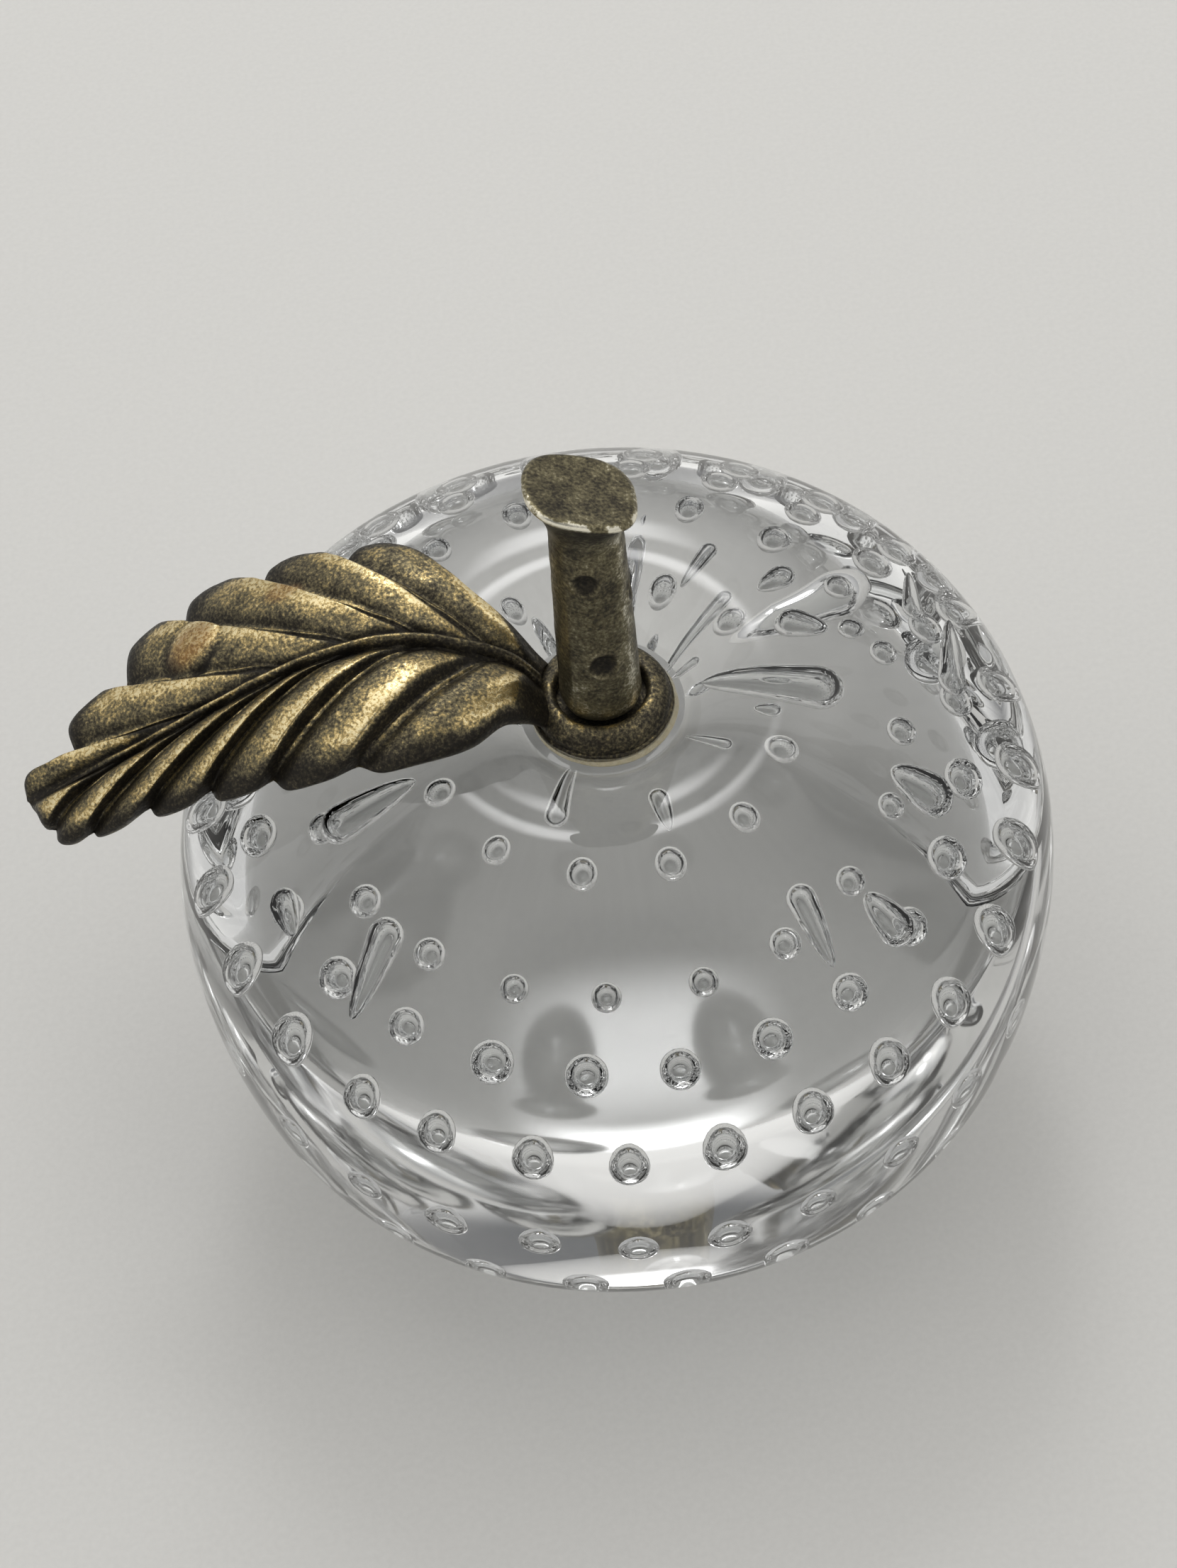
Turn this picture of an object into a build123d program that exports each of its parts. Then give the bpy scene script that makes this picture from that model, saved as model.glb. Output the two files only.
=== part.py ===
from build123d import *
from math import cos, pi, radians, sin, sqrt
import os

# Art glass apple: a solid clear glass body full of controlled air bubbles, with a cast
# brass leaf and stem cemented in the dimple on top. Millimetres, Z up, the origin is
# the centre of the flat base, the leaf points to -X and the front is -Y.

# Glass body
glass_diameter = 80.0
crown_height = 57.9
crown_diameter = 30.0
base_diameter = 44.0
base_arris = 0.6
dimple_depth = 3.2
seat_margin = 0.3

# Outline points as shares of the glass radius and of the crown height
belly_share = 0.553
lower_outline_shares = ((0.975, 0.366), (0.890, 0.237), (0.725, 0.102))
upper_outline_shares = ((0.958, 0.731), (0.875, 0.824), (0.663, 0.938))

# Air bubbles: rings placed by shares of the glass radius and the crown height, and
# how far the first bubble of each ring is turned, as a share of its spacing
bubble_pitch = 7.4
bubble_diameter = 3.0
ring_shares = (
    (0.388, 0.855, 0.56),
    (0.600, 0.795, 0.74),
    (0.718, 0.725, 0.40),
    (0.798, 0.622, 0.75),
    (0.795, 0.430, 0.75),
    (0.690, 0.262, 0.25),
)

# Drawn-out bubbles that lean in towards the dimple
drop_count = 6
drop_diameter = 2.4
drop_length = 6.4
drop_lean = 42.0
drop_ring_shares = (0.290, 0.800, 0.42)

# Cement: bed under the eye and bead round it
cement_thickness = 0.25
bead_width = 0.6
bead_height = 0.6

# Stem
stem_height = 27.4
stem_foot_diameter = 7.3
stem_neck_diameter = 6.3
foot_bevel = 1.0
spigot_diameter = 3.1
head_diameter = 9.6
head_thickness = 0.9
head_flare = 5.5
head_tilt = 20.0
head_turn = 40.0
head_offset_left = 0.2
head_offset_front = 0.7
head_bevel = 0.25

# Knots: shallow pits, placed by a share of the shank's height and a turn about it
knot_diameter = 2.4
knot_depth = 0.45
knot_shares = ((0.38, -83.0), (0.84, -99.0), (0.66, -5.0), (0.55, 110.0))

# Eye of the leaf, which the stem stands in
eye_height = 2.5
eye_wall = 2.3
eye_floor = 0.9
eye_outer_bevel = 0.8
eye_inner_bevel = 0.5
foot_clearance = 0.3
spigot_clearance = 0.15

# Leaf blade
leaf_reach = 51.1
leaf_clearance = 2.4
leaf_bow = 2.3
blade_width = 18.4
blade_thickness = 2.1
edge_thickness = 1.3
blade_roll_radius = 26.0
tip_twist = 15.0

# Midrib points: shares of the way from the eye to the tip, of the sideways bow and of
# the rise, and the blade's width there as a share of its full width
midrib_shares = (
    (0.000, 0.40, 0.00, 0.42),
    (0.074, 0.80, 0.54, 0.50),
    (0.245, 1.00, 1.00, 0.92),
    (0.417, 0.80, 0.88, 0.96),
    (0.588, 0.43, 0.38, 0.84),
    (0.765, 0.07, -0.28, 0.62),
    (1.000, -0.33, -1.12, 0.15),
)

# Midrib ridge
rib_width = 2.2
rib_height = 0.8
rib_end_share = 0.94
rib_section_shares = ((0.0, 1.0, 0.6), (0.15, 1.0, 1.0), (0.4, 0.9, 1.0), (0.7, 0.7, 0.8), (1.0, 0.4, 0.4))

# Lobes: root and end along the midrib, and how far out the end lies as a share of half
# the blade's width
lobe_width = 5.6
lobe_height = 1.2
lobe_depth = 1.0
lobe_root_offset = 1.8
front_lobe_shares = (
    (0.08, 0.34, 1.12),
    (0.17, 0.51, 1.10),
    (0.28, 0.65, 0.95),
    (0.41, 0.77, 0.76),
    (0.55, 0.88, 0.58),
)
back_lobe_shares = (
    (0.09, 0.32, 1.16),
    (0.20, 0.48, 1.26),
    (0.31, 0.63, 1.26),
    (0.44, 0.75, 1.05),
    (0.58, 0.87, 0.66),
)
tip_lobe_share = 0.72

# Sections of a lobe: place along it, width and height, as shares of its own
lobe_section_shares = ((0.0, 0.32, 0.2), (0.35, 0.75, 0.85), (0.75, 1.0, 1.0), (1.0, 0.42, 0.05))
tip_section_shares = ((0.0, 0.32, 0.2), (0.45, 0.8, 0.85), (0.82, 1.1, 0.9), (1.0, 0.5, 0.05))

# Sizes that follow from those above
glass_radius = glass_diameter / 2
foot_radius = stem_foot_diameter / 2
neck_radius = stem_neck_diameter / 2
bore_radius = foot_radius + foot_clearance
eye_radius = bore_radius + eye_wall
spigot_hole_radius = spigot_diameter / 2 + spigot_clearance
seat_radius = eye_radius + bead_width + seat_margin
seat_height = crown_height - dimple_depth
eye_bottom = seat_height + cement_thickness
eye_top = eye_bottom + eye_height
floor_top = eye_bottom + eye_floor
head_base = eye_top + stem_height - head_flare

os.makedirs("parts", exist_ok=True)


# Glass body: one solid of revolution, flat below and dimpled on top, full of bubbles


def faceted_bubble(width, length):
    # Twenty-sided closed shape with its long axis along Z
    level = sqrt(1 / 5) * length / 2
    spread = sqrt(4 / 5) * width / 2
    top = Vector(0, 0, length / 2)
    bottom = Vector(0, 0, -length / 2)
    upper = [Vector(spread, 0, level).rotate(Axis.Z, 72 * i) for i in range(5)]
    lower = [Vector(spread, 0, -level).rotate(Axis.Z, 72 * i + 36) for i in range(5)]
    triangles = []
    for i in range(5):
        j = (i + 1) % 5
        triangles.append((top, upper[i], upper[j]))
        triangles.append((upper[i], lower[i], upper[j]))
        triangles.append((upper[j], lower[i], lower[j]))
        triangles.append((bottom, lower[j], lower[i]))
    return Solid(Shell([Face(Wire.make_polygon(corners)) for corners in triangles]))


def first_turn(count, start_share):
    # Angle of a ring's first bubble, counted from the front
    return -90 + 360 / count * start_share


with BuildPart() as glass_body:
    with BuildSketch(Plane.XZ):
        with BuildLine():
            belly = (glass_radius, crown_height * belly_share)
            lower_points = [(glass_radius * r, crown_height * z) for r, z in lower_outline_shares]
            lower_points.append((base_diameter / 2, base_arris))
            upper_points = [(glass_radius * r, crown_height * z) for r, z in upper_outline_shares]
            upper_points.append((crown_diameter / 2, crown_height))
            upper_points.append((seat_radius, seat_height))
            for points, heading in ((lower_points, (0, -1)), (upper_points, (0, 1))):
                start = belly
                for point in points:
                    outline_arc = TangentArc(start, point, tangent=heading)
                    start, heading = outline_arc @ 1, outline_arc % 1
            Polyline(
                lower_points[-1],
                (base_diameter / 2 - base_arris, 0),
                (0, 0),
                (0, seat_height),
                upper_points[-1],
            )
        make_face()
    revolve(axis=Axis.Z)

    for radius_share, height_share, start_share in ring_shares:
        ring_radius = glass_radius * radius_share
        bubble_count = round(2 * pi * ring_radius / bubble_pitch)
        with Locations((0, 0, crown_height * height_share)):
            with PolarLocations(ring_radius, bubble_count, start_angle=first_turn(bubble_count, start_share)):
                add(faceted_bubble(bubble_diameter, bubble_diameter), mode=Mode.SUBTRACT)

    drop_radius_share, drop_height_share, drop_start_share = drop_ring_shares
    drop_radius = glass_radius * drop_radius_share
    with Locations((0, 0, crown_height * drop_height_share)):
        with PolarLocations(drop_radius, drop_count, start_angle=first_turn(drop_count, drop_start_share)):
            add(faceted_bubble(drop_diameter, drop_length).rotate(Axis.Y, -drop_lean), mode=Mode.SUBTRACT)

glass_body.part.label = "glass_body"
export_step(glass_body.part, "parts/glass_body.step")


# Cement: a thin bed on the glass, with a bead squeezed out round the eye


with BuildPart() as cement:
    with BuildSketch(Plane.XZ):
        with BuildLine():
            Polyline(
                (0, seat_height),
                (eye_radius + bead_width, seat_height),
                (eye_radius, eye_bottom + bead_height),
                (eye_radius, eye_bottom),
                (0, eye_bottom),
                close=True,
            )
        make_face()
    revolve(axis=Axis.Z)

cement.part.label = "cement"
export_step(cement.part, "parts/cement.step")


# Leaf: an arched, rolled blade with swept lobes, cast in one piece with its eye


def roll_drop(side):
    # How far the rolled blade falls away beside the midrib
    return blade_roll_radius - sqrt(blade_roll_radius**2 - side**2)


def blade_plane(along):
    # Upright plane across the blade at a share of the midrib, turned with the twist
    twist = radians(tip_twist * along)
    return Plane(origin=midrib @ along, x_dir=(0, cos(twist), sin(twist)), z_dir=(1, 0, 0))


def on_blade(along, side):
    # Point on the blade's upper face
    return blade_plane(along).from_local_coords(Vector(side, -roll_drop(side), 0))


def ridge(root, end, sections):
    # Raised ridge on the blade from root to end, which are each a share of the midrib and
    # a distance beside it. Its sections give a place, a half width and a height.
    def spot(place):
        return [a + (b - a) * place for a, b in zip(root, end)]

    with BuildPart() as raised:
        for place, half_width, height in sections:
            along, side = spot(place)
            heading = on_blade(*spot(min(1, place + 0.1))) - on_blade(*spot(max(0, place - 0.1)))
            across = blade_plane(along)
            lean = side / blade_roll_radius
            outward = across.y_dir * sqrt(1 - lean**2) + across.x_dir * lean
            with BuildSketch(Plane(origin=on_blade(along, side), x_dir=outward.cross(heading), z_dir=heading)):
                with BuildLine():
                    crest = ThreePointArc((-half_width, -lobe_depth), (0, height), (half_width, -lobe_depth))
                    Line(crest @ 1, crest @ 0)
                make_face()
        loft()
    return raised.part


def ridge_sections(width, height, section_shares):
    # Places along a ridge with its real half width and height there
    return [(place, width / 2 * wide, height * tall) for place, wide, tall in section_shares]


half_blade = blade_width / 2
root_reach = bore_radius + eye_wall / 3
leaf_rise = crown_height + leaf_clearance + blade_thickness + roll_drop(half_blade) - eye_top
midrib_points = [
    (-root_reach - (leaf_reach - root_reach) * reach, leaf_bow * bow, eye_top + leaf_rise * rise)
    for reach, bow, rise, width in midrib_shares
]
with BuildLine():
    midrib = Spline(*midrib_points)

with BuildPart() as blade:
    for point, (reach, bow, rise, width) in zip(midrib_points, midrib_shares):
        upper_edge = Vector(half_blade * width, -roll_drop(half_blade * width))
        lower_edge = upper_edge - Vector(0, edge_thickness)
        with BuildSketch(blade_plane(midrib.param_at_point(Vector(*point)))):
            with BuildLine():
                ThreePointArc((-upper_edge.X, upper_edge.Y), (0, 0), upper_edge)
                Line(upper_edge, lower_edge)
                ThreePointArc(lower_edge, (0, -blade_thickness), (-lower_edge.X, lower_edge.Y))
                Line((-lower_edge.X, lower_edge.Y), (-upper_edge.X, upper_edge.Y))
            make_face()
    loft()

lobe_sections = ridge_sections(lobe_width, lobe_height, lobe_section_shares)
ridges = [
    ridge((0, 0), (rib_end_share, 0), ridge_sections(rib_width, rib_height, rib_section_shares)),
    ridge((tip_lobe_share, 0), (1, 0), ridge_sections(lobe_width, lobe_height, tip_section_shares)),
]
for hand, lobe_shares in ((-1, front_lobe_shares), (1, back_lobe_shares)):
    for root_share, end_share, out_share in lobe_shares:
        root = (root_share, hand * lobe_root_offset)
        end = (end_share, hand * out_share * half_blade)
        ridges.append(ridge(root, end, lobe_sections))

with BuildPart() as leaf:
    add(blade.part)
    add(ridges)
    with BuildSketch(Plane.XZ):
        with BuildLine():
            Polyline(
                (spigot_hole_radius, eye_bottom),
                (eye_radius, eye_bottom),
                (eye_radius, eye_top - eye_outer_bevel),
                (eye_radius - eye_outer_bevel, eye_top),
                (bore_radius + eye_inner_bevel, eye_top),
                (bore_radius, eye_top - eye_inner_bevel),
                (bore_radius, floor_top),
                (spigot_hole_radius, floor_top),
                close=True,
            )
        make_face()
    revolve(axis=Axis.Z)
    with BuildSketch(Plane.XY.offset(floor_top)):
        Circle(bore_radius)
    extrude(amount=stem_height, mode=Mode.SUBTRACT)

leaf.part.label = "leaf"
export_step(leaf.part, "parts/leaf.step")


# Stem: a tapered shank with a bevelled foot, a flared slanting head and knots


def head_plane(rise_share, tilt_share):
    # Plane across the flared head, which faces the back right and hangs over in front
    tilt, turn = radians(head_tilt * tilt_share), radians(head_turn)
    return Plane(
        origin=(
            -head_offset_left * tilt_share,
            -head_offset_front * tilt_share,
            head_base + (head_flare - head_thickness) * rise_share,
        ),
        x_dir=(-sin(turn), cos(turn), 0),
        z_dir=(sin(tilt) * cos(turn), sin(tilt) * sin(turn), cos(tilt)),
    )


flare_middle_shares = (0.55, 0.45, 0.3)
knot_radius = (knot_diameter**2 / 4 + knot_depth**2) / (2 * knot_depth)

with BuildPart() as stem:
    with BuildSketch(Plane.XZ):
        with BuildLine():
            Polyline(
                (0, eye_bottom),
                (spigot_diameter / 2, eye_bottom),
                (spigot_diameter / 2, floor_top),
                (foot_radius - foot_bevel, floor_top),
                (foot_radius, floor_top + foot_bevel),
                (neck_radius, head_base),
                (0, head_base),
                close=True,
            )
        make_face()
    revolve(axis=Axis.Z)

    rise_share, tilt_share, spread_share = flare_middle_shares
    with BuildSketch(head_plane(0, 0)):
        Circle(neck_radius)
    with BuildSketch(head_plane(rise_share, tilt_share)):
        Circle(neck_radius + (head_diameter / 2 - neck_radius) * spread_share)
    with BuildSketch(head_plane(1, 1)):
        Circle(head_diameter / 2)
    loft()
    extrude(stem.faces().sort_by(Axis.Z)[-1], amount=head_thickness)
    chamfer(stem.edges().sort_by(Axis.Z)[-1], head_bevel)

    for height_share, turn in knot_shares:
        knot_height = floor_top + (head_base - floor_top) * height_share
        reach = foot_radius + (neck_radius - foot_radius) * height_share + knot_radius - knot_depth
        with Locations((reach * cos(radians(turn)), reach * sin(radians(turn)), knot_height)):
            Sphere(knot_radius, mode=Mode.SUBTRACT)

stem.part.label = "stem"
export_step(stem.part, "parts/stem.step")
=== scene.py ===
import math
import random

import bpy
from mathutils import Matrix, Quaternion, Vector, noise


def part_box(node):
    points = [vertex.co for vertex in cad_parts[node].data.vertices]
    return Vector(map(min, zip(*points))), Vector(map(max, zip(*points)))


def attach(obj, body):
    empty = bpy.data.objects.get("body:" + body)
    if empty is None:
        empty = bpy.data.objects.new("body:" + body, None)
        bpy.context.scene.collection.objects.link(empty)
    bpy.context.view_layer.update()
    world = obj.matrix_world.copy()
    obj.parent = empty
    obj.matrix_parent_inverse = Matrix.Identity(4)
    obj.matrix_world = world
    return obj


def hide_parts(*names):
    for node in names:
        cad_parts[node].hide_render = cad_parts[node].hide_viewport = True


# Art glass apple: a solid clear crystal body full of air bubbles, with a cast brass leaf
# and stem cemented in the dimple on top. Metres, Z up, the leaf points to -X.

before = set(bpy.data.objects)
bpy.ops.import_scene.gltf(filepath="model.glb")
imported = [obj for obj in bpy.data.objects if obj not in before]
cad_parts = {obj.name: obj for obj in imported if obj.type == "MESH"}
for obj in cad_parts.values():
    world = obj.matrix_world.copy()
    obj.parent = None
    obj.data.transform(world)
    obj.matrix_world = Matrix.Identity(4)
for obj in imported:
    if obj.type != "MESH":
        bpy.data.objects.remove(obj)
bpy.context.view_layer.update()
mm = 0.001
random.seed(11)

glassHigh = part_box("glass_body")[1]
leafLow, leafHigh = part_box("leaf")
cementLow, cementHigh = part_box("cement")
glassRadius = min(glassHigh.x, glassHigh.y)
crownHeight = glassHigh.z
eyeRadius = leafHigh.x
cementThickness = 0.25 * mm
eyeHeight = 2.5 * mm
eyeBottom = cementLow.z + cementThickness
eyeTop = eyeBottom + eyeHeight
mergeGap = 0.005 * mm  # points nearer than this become one
smoothAngle = 40  # degrees: a sharper edge stays sharp


# Small helpers

def hexColour(code):
    # sRGB hex to the linear values that shaders use
    parts = [int(code[i:i + 2], 16) / 255 for i in (1, 3, 5)]
    return [c / 12.92 if c < 0.04045 else ((c + 0.055) / 1.055) ** 2.4 for c in parts] + [1]


def addNode(tree, kind, inputs=None, ramp=None, **settings):
    # A shader node with its settings, its input values or links, and its colour stops
    made = tree.nodes.new("ShaderNode" + kind)
    for name, value in settings.items():
        setattr(made, name, value)
    for name, value in (inputs or {}).items():
        if isinstance(value, bpy.types.NodeSocket):
            tree.links.new(value, made.inputs[name])
        else:
            made.inputs[name].default_value = value
    if ramp:
        stops = made.color_ramp.elements
        while len(stops) < len(ramp):
            stops.new(1)
        for stop, (place, code) in zip(stops, ramp):
            stop.position = place
            stop.color = hexColour(code)
    return made


def newMaterial(name):
    made = bpy.data.materials.new(name)
    made.use_nodes = True
    return made, made.node_tree, made.node_tree.nodes["Principled BSDF"]


def deselect():
    bpy.ops.object.select_all(action="DESELECT")


def smoothStep(low, high, value):
    share = min(1, max(0, (value - low) / (high - low)))
    return share * share * (3 - 2 * share)


def bell(value, width):
    # 1 at zero, fading smoothly to nothing a few widths away
    return math.exp(-((value / width) ** 2))


def lumpiness(spot, lumps):
    # Uneven skin of a casting: waves that each have a height and a spacing
    return sum(tall * noise.noise(spot / spacing) for tall, spacing in lumps)


def tangentArc(start, end, heading, steps):
    # Points after start on the arc that leaves it along heading and ends at end
    chord = end - start
    turn = math.atan2(heading.x * chord.y - heading.y * chord.x, heading.dot(chord))
    points = []
    for i in range(1, steps + 1):
        part = turn * i / steps
        reach = chord.length * (math.sin(part) / math.sin(turn) if abs(turn) > 1e-6 else i / steps)
        points.append(start + Matrix.Rotation(part, 2) @ heading * reach)
    return points, Matrix.Rotation(2 * turn, 2) @ heading


def spinOutline(name, outline, steps):
    # A closed solid of revolution, drawn as a chain of edges from axis to axis and spun
    deselect()
    bpy.ops.mesh.primitive_plane_add(size=mm)
    made = bpy.context.object
    made.name = name
    bpy.ops.object.mode_set(mode="EDIT")
    bpy.ops.mesh.merge(type="CENTER")
    bpy.ops.transform.translate(value=(outline[0].x, 0, outline[0].y))
    for previous, point in zip(outline, outline[1:]):
        step = point - previous
        bpy.ops.mesh.extrude_region_move(TRANSFORM_OT_translate={"value": (step.x, 0, step.y)})
    bpy.ops.mesh.select_all(action="SELECT")
    bpy.ops.mesh.spin(steps=steps, angle=2 * math.pi, center=(0, 0, 0), axis=(0, 0, 1))
    bpy.ops.mesh.select_all(action="SELECT")
    bpy.ops.mesh.remove_doubles(threshold=mergeGap)
    bpy.ops.mesh.normals_make_consistent(inside=False)
    bpy.ops.object.mode_set(mode="OBJECT")
    return made


def joinInto(made, others):
    deselect()
    for other in others:
        other.select_set(True)
    made.select_set(True)
    bpy.context.view_layer.objects.active = made
    bpy.ops.object.join()


def finishPiece(made, material, body, slotName, *nodes):
    # Smooth shading, material, and what the piece rides on and stands for. The slot name is not used.
    deselect()
    made.select_set(True)
    bpy.context.view_layer.objects.active = made
    bpy.ops.object.shade_smooth_by_angle(angle=math.radians(smoothAngle))
    made.data.materials.clear()
    made.data.materials.append(material)
    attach(made, body)
    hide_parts(*nodes)
    print(made.name, len(made.data.polygons), "faces")


# Camera: the photograph's view, from in front and well above

cameraLook = {
    "elevation": 55.494,  # degrees above the floor
    "distance": 280 * mm,
    "roll": 6.017,  # degrees
    "target": (-1.9 * mm, 0, 42.95 * mm),
    "lens": 71.86,
    "sensor": 36,
    "clip": (10 * mm, 40),
}


def placeCamera():
    look = cameraLook
    rise = math.radians(look["elevation"])
    back = Vector((0, -math.cos(rise), math.sin(rise)))
    data = bpy.data.cameras.new("camera")
    data.sensor_width = look["sensor"]
    data.lens = look["lens"]
    data.clip_start, data.clip_end = look["clip"]
    camera = bpy.data.objects.new("camera", data)
    bpy.context.scene.collection.objects.link(camera)
    camera.location = Vector(look["target"]) + back * look["distance"]
    camera.rotation_mode = "QUATERNION"
    roll = Quaternion((0, 0, 1), -math.radians(look["roll"]))
    camera.rotation_quaternion = (-back).to_track_quat("-Z", "Y") @ roll
    bpy.context.scene.camera = camera
    print("camera placed")


placeCamera()


# Studio: a pale paper floor, two soft boxes high at the back, a pale room whose walls are
# darker than its ceiling, and a dim opening where the photographer stands

studio = {
    "floorSize": 18.0,
    "floorDrop": 0.05 * mm,
    "paperGrain": 0.6 * mm,
    "paperColours": ((0.3, "#E2E1DE"), (0.7, "#E6E5E2")),
    # Room light from the floor line to straight overhead
    "roomStops": (
        (0.0, "#A8A8A6"),
        (0.25, "#C8C7C5"),
        (0.6, "#EDECE9"),
        (0.8, "#E2E1DE"),
        (1.0, "#ACABA9"),
    ),
    "roomStrength": 2.1,
    # Opening where the photographer stands: its direction, and how nearly a direction has
    # to agree with it before the room starts to dim and is fully dim
    "dimColour": "#4A4B4D",
    "dimWay": (0, -0.71, 0.704),
    "dimEdge": 0.75,
    "dimCore": 0.93,
    # Darker cloth on the side and back walls: where it starts, is full, and its weight
    "wallNear": 0.3,
    "wallFar": 0.72,
    "wallShare": 0.62,
    # Soft boxes: place, point aimed at, width, length, watts
    "boxes": (
        ((0, 0.70, 0.595), (0, 0, 0.03), 0.34, 0.30, 0.68),
        ((0, 0.443, 0.813), (0, 0, 0.03), 0.28, 0.19, 0.42),
    ),
    "feather": 0.4,  # faded border of a soft box, as a share of its side
}


def softenEdges(lamp, feather):
    # Cloth front of a soft box: brightest in the middle, fading out towards its edges
    lamp.use_nodes = True
    tree = lamp.node_tree
    spot = addNode(tree, "NewGeometry").outputs["Parametric"]
    centred = addNode(tree, "VectorMath", {0: spot, 1: (0.5, 0.5, 0)}, operation="SUBTRACT")
    away = addNode(tree, "VectorMath", {0: centred.outputs[0]}, operation="ABSOLUTE")
    sides = addNode(tree, "SeparateXYZ", {"Vector": away.outputs[0]}).outputs
    shares = [
        addNode(
            tree,
            "MapRange",
            {"Value": sides[name], "From Min": 0.5, "From Max": 0.5 - feather},
            interpolation_type="SMOOTHSTEP",
        ).outputs["Result"]
        for name in ("X", "Y")
    ]
    glow = addNode(tree, "Math", {0: shares[0], 1: shares[1]}, operation="MULTIPLY").outputs[0]
    gain = addNode(tree, "Math", {0: glow, 1: 1 / (1 - feather) ** 2}, operation="MULTIPLY")
    tree.links.new(gain.outputs[0], tree.nodes["Emission"].inputs["Strength"])


def buildStudio():
    look = studio
    deselect()
    bpy.ops.mesh.primitive_plane_add(size=look["floorSize"], location=(0, 0, -look["floorDrop"]))
    floor = bpy.context.object
    floor.name = "floor"
    bpy.ops.object.transform_apply(location=True)
    # Uncoated paper off a wide roll: matt, with a fibre grain that barely shows
    material, tree, shader = newMaterial("matt paper sheet")
    place = addNode(tree, "TexCoord").outputs["Object"]
    grain = addNode(tree, "TexNoise", {"Vector": place, "Scale": 1 / look["paperGrain"], "Detail": 4})
    tint = addNode(tree, "ValToRGB", {"Fac": grain.outputs["Fac"]}, ramp=look["paperColours"])
    tree.links.new(tint.outputs["Color"], shader.inputs["Base Color"])
    shader.inputs["Roughness"].default_value = 0.7
    shader.inputs["Specular IOR Level"].default_value = 0.2
    floor.data.materials.append(material)

    for i, (place, aim, width, length, watts) in enumerate(look["boxes"]):
        data = bpy.data.lights.new(f"softbox{i}", "AREA")
        data.shape = "RECTANGLE"
        data.size = width
        data.size_y = length
        data.energy = watts
        softenEdges(data, look["feather"])
        box = bpy.data.objects.new(f"softbox{i}", data)
        bpy.context.scene.collection.objects.link(box)
        box.location = place
        box.rotation_mode = "QUATERNION"
        box.rotation_quaternion = (Vector(aim) - Vector(place)).to_track_quat("-Z", "Y")

    room = bpy.data.worlds.new("room")
    room.use_nodes = True
    bpy.context.scene.world = room
    tree = room.node_tree
    way = addNode(tree, "TexCoord").outputs["Generated"]
    parts = addNode(tree, "SeparateXYZ", {"Vector": way}).outputs
    shade = addNode(tree, "ValToRGB", {"Fac": parts["Z"]}, ramp=look["roomStops"]).outputs["Color"]
    sideways = addNode(tree, "Math", {0: parts["X"]}, operation="ABSOLUTE").outputs[0]
    walls = addNode(tree, "Math", {0: sideways, 1: parts["Y"]}, operation="MAXIMUM").outputs[0]
    opening = {0: way, 1: look["dimWay"]}
    nearness = addNode(tree, "VectorMath", opening, operation="DOT_PRODUCT").outputs["Value"]
    for value, start, full, share in (
        (walls, look["wallNear"], look["wallFar"], look["wallShare"]),
        (nearness, look["dimEdge"], look["dimCore"], 1),
    ):
        amount = addNode(
            tree,
            "MapRange",
            {"Value": value, "From Min": start, "From Max": full, "To Max": share},
            interpolation_type="SMOOTHSTEP",
        )
        dimmed = {"Factor": amount.outputs["Result"], 6: shade, 7: hexColour(look["dimColour"])}
        shade = addNode(tree, "Mix", dimmed, data_type="RGBA").outputs[2]
    background = tree.nodes["Background"]
    tree.links.new(shade, background.inputs["Color"])
    background.inputs["Strength"].default_value = look["roomStrength"]
    bpy.context.scene.view_settings.view_transform = "Standard"
    print("studio done")


buildStudio()


# Glass: spun from the same outline as the solid, with its air bubbles inside

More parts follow.
